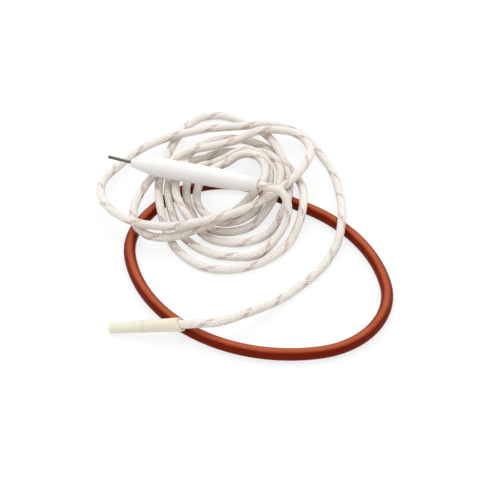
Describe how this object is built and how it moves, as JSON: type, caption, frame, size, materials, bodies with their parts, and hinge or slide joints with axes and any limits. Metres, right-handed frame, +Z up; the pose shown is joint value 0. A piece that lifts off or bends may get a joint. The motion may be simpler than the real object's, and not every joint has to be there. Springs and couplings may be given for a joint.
{
  "type": "flame sensor probe",
  "caption": "Ceramic flame sensing electrode with a long braided lead coiled up, a push-on terminal under a clear sleeve and a loose red seal ring",
  "frame": {"origin": "middle of the base of the box round the probe and the seal ring, on the floor they lie on", "axes": "+Z up from the floor; the camera of the picture looks along +Y, and the sensing rod points to -X"},
  "size_m": [0.1476, 0.184, 0.0255],
  "materials": {
    "ceramic": "white satin fired ceramic",
    "rod_alloy": "dull dark grey heat-resisting alloy wire",
    "cement": "matt off-white potting cement",
    "plated_metal": "tin plated",
    "insulation": "matt silicone",
    "braid": "varnished fibreglass braid, cream with a pink-red tracer",
    "sleeve": "soft translucent yellowish plastic",
    "seal_rubber": "glossy red-brown silicone"
  },
  "bodies": {
    "probe": {"ceramic_body": "ceramic", "electrode_rod": "rod_alloy", "front_cement": "cement", "splice_ferrule": "plated_metal", "rear_cement": "cement", "probe_conductor": "plated_metal", "probe_insulation": "insulation", "probe_braid": "braid", "lead_start": "braid", "lead_coil": "braid", "lead_tail": "braid", "terminal_insulation": "insulation", "terminal_conductor": "plated_metal", "terminal_receptacle": "plated_metal", "seal_ring": "seal_rubber"},
    "sleeve": {"terminal_sleeve": "sleeve"}
  },
  "joints": [
    {"name": "sleeve_slide", "type": "slide", "parent": "probe", "child": "sleeve", "axis": [0.9794, -0.1029, 0.1736], "range_m": [0, 0.014]}
  ]
}
